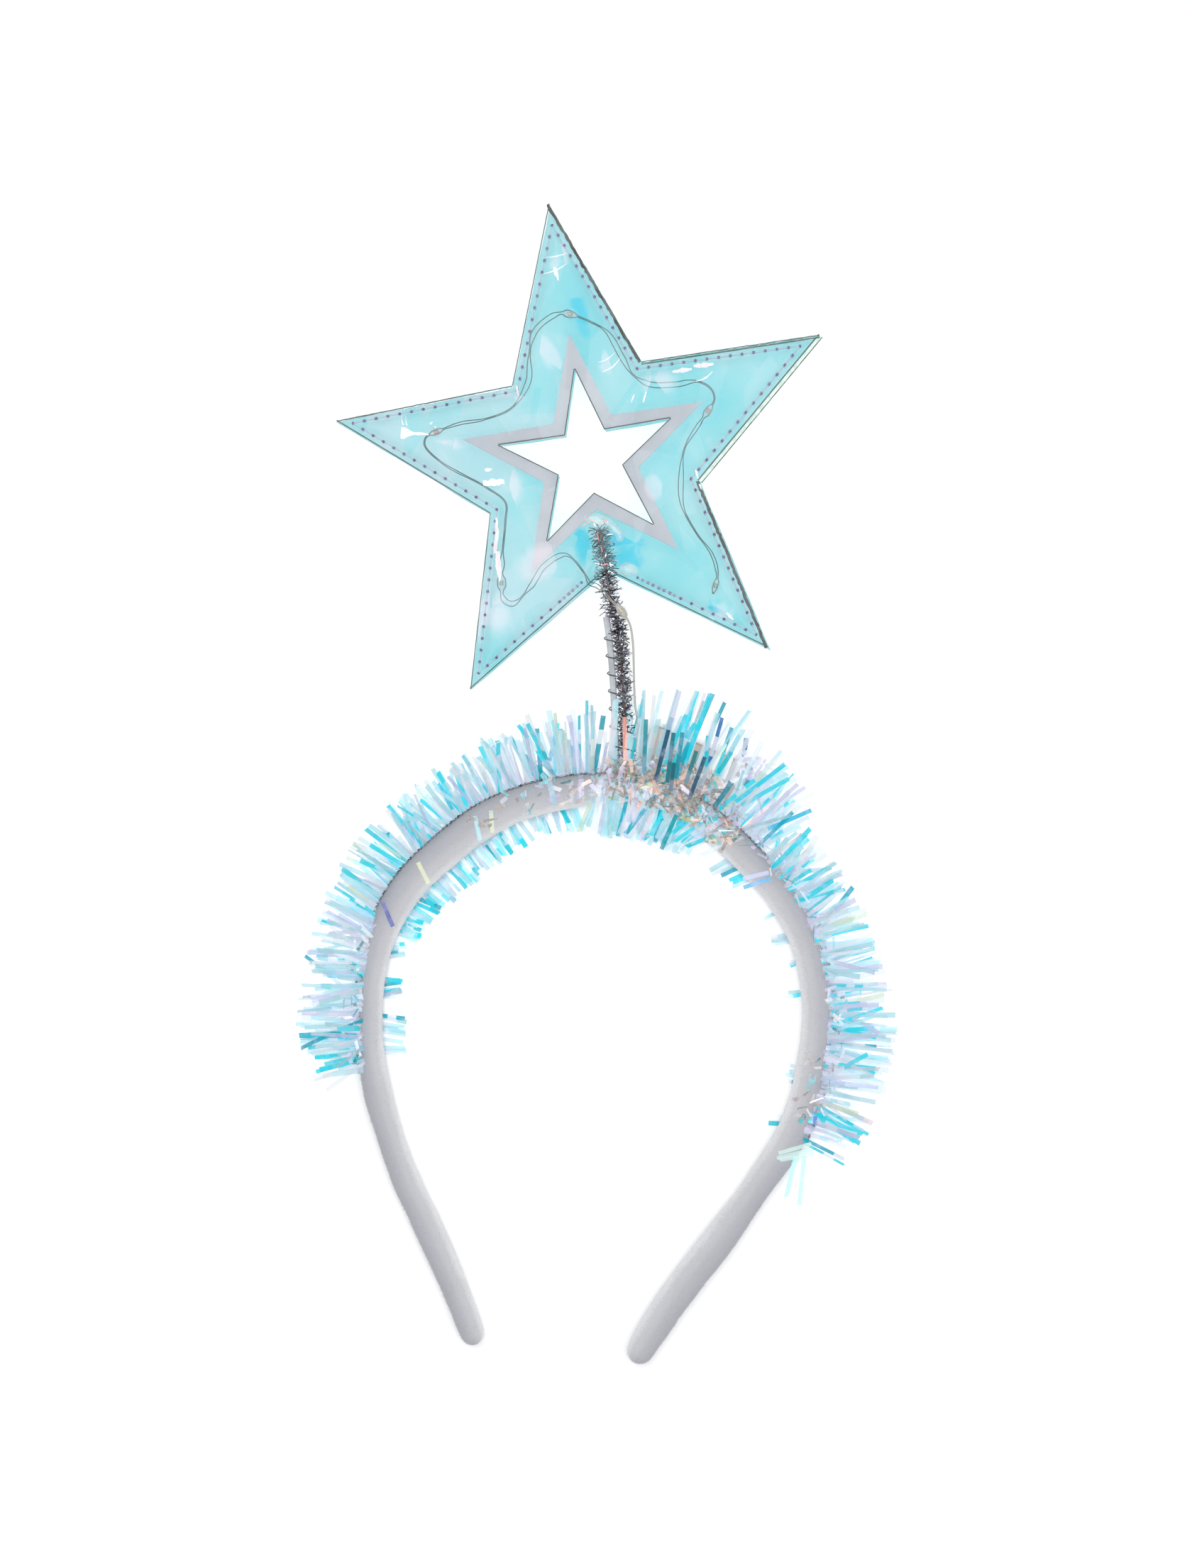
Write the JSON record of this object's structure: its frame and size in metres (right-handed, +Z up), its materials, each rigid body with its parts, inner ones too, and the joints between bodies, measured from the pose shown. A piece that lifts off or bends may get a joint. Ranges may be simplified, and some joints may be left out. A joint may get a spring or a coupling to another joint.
{
  "type": "light-up star headband",
  "caption": "Padded cloth headband with a tinsel garland and a sprung tinsel stem that carries a clear film star with fairy lights sewn inside.",
  "frame": {"origin": "middle of the underside of the part's box, on the surface that it lies on", "axes": "+X to the right of the band, +Y from the band's tips towards the star, +Z up from the surface, the front of the star"},
  "size_m": [0.1688, 0.327, 0.0213],
  "materials": {
    "band_cloth": "white short-pile fleece",
    "tinsel_film": "clear iridescent film strips",
    "silver_tinsel": "crinkled bright silver film hairs",
    "pale_tube": "smooth pale grey tube",
    "spring_steel": "fine bright wire",
    "light_wire": "lacquered fine wire with clear resin drops",
    "box_plastic": "grey-beige moulded plastic",
    "star_film": "clear pale cyan film, glossy and creased",
    "frame_sheet": "flat lavender grey sheet",
    "set_glue": "clear set glue"
  },
  "bodies": {
    "root": {"headband": "band_cloth", "tinsel_garland": "tinsel_film", "stem_tinsel": "silver_tinsel", "stem_tube": "pale_tube", "stem_coil": "spring_steel", "light_string": "light_wire", "battery_box": "box_plastic", "star_front_film": "star_film", "star_back_film": "star_film", "window_frame": "frame_sheet", "glue_under_window": "set_glue", "glue_at_notch": "set_glue"}
  },
  "joints": []
}
